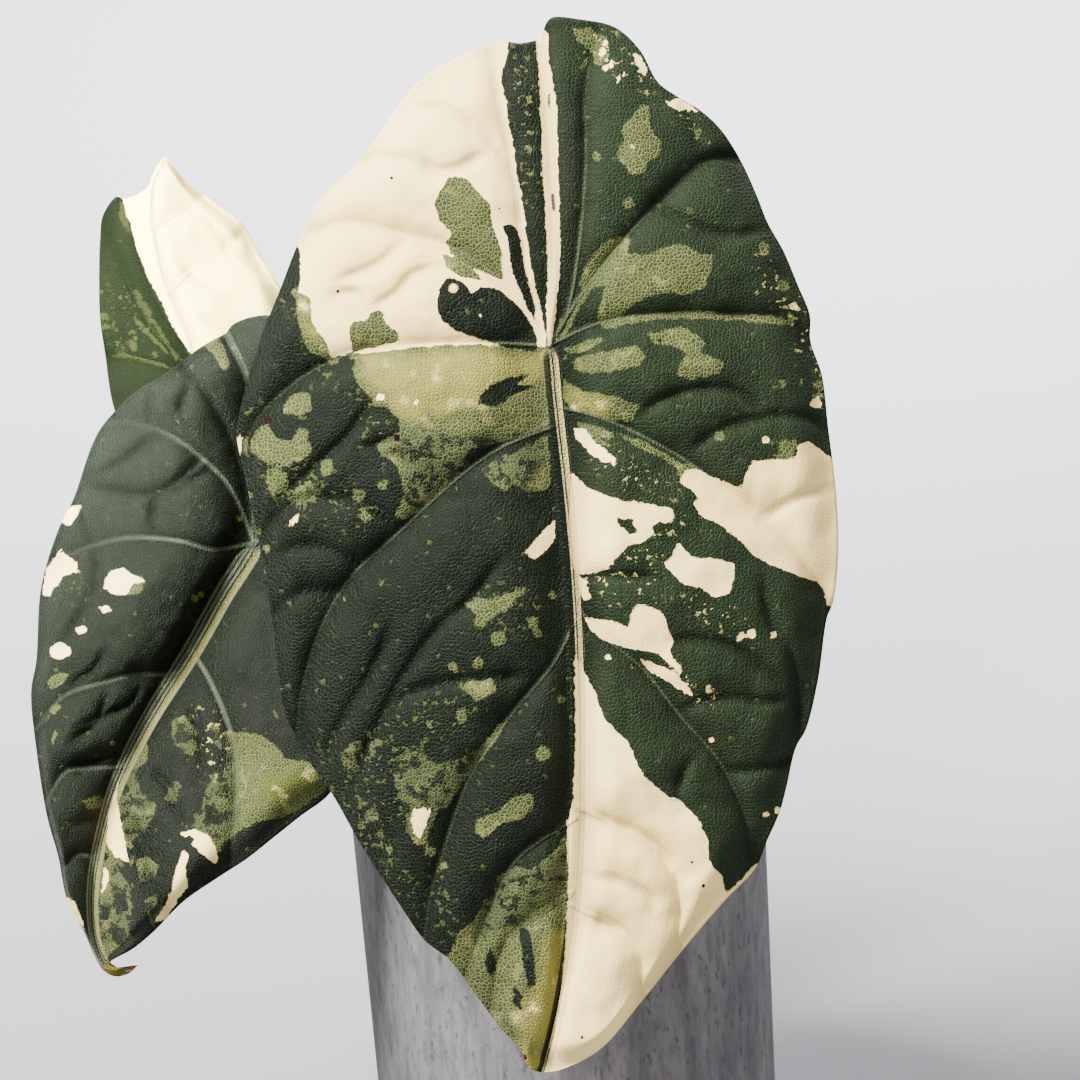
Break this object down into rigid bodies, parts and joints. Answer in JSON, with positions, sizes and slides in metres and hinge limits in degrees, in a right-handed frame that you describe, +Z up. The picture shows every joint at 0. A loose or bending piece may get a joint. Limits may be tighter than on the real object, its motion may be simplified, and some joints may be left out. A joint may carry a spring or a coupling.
{
  "type": "potted variegated alocasia",
  "caption": "House plant in a round matt grey pot: upright peltate quilted leaves with cream and pale green variegation on round stalks from a short crown.",
  "frame": {"origin": "centre of the pot's underside", "axes": "+Z up along the pot's axis; the largest leaf faces -Y and the smaller leaves lean towards -X"},
  "size_m": [0.2155, 0.1775, 0.3409],
  "materials": {
    "pot": "matte",
    "soil": "matte",
    "crown": "matte",
    "petiole": "satin",
    "blade_front": "satin",
    "blade_side": "satin",
    "blade_rear": "satin"
  },
  "bodies": {
    "root": {"pot": "pot", "soil": "soil", "crown": "crown", "petiole_front": "petiole", "petiole_side": "petiole", "petiole_rear": "petiole", "blade_front": "blade_front", "blade_side": "blade_side", "blade_rear": "blade_rear"}
  },
  "joints": []
}
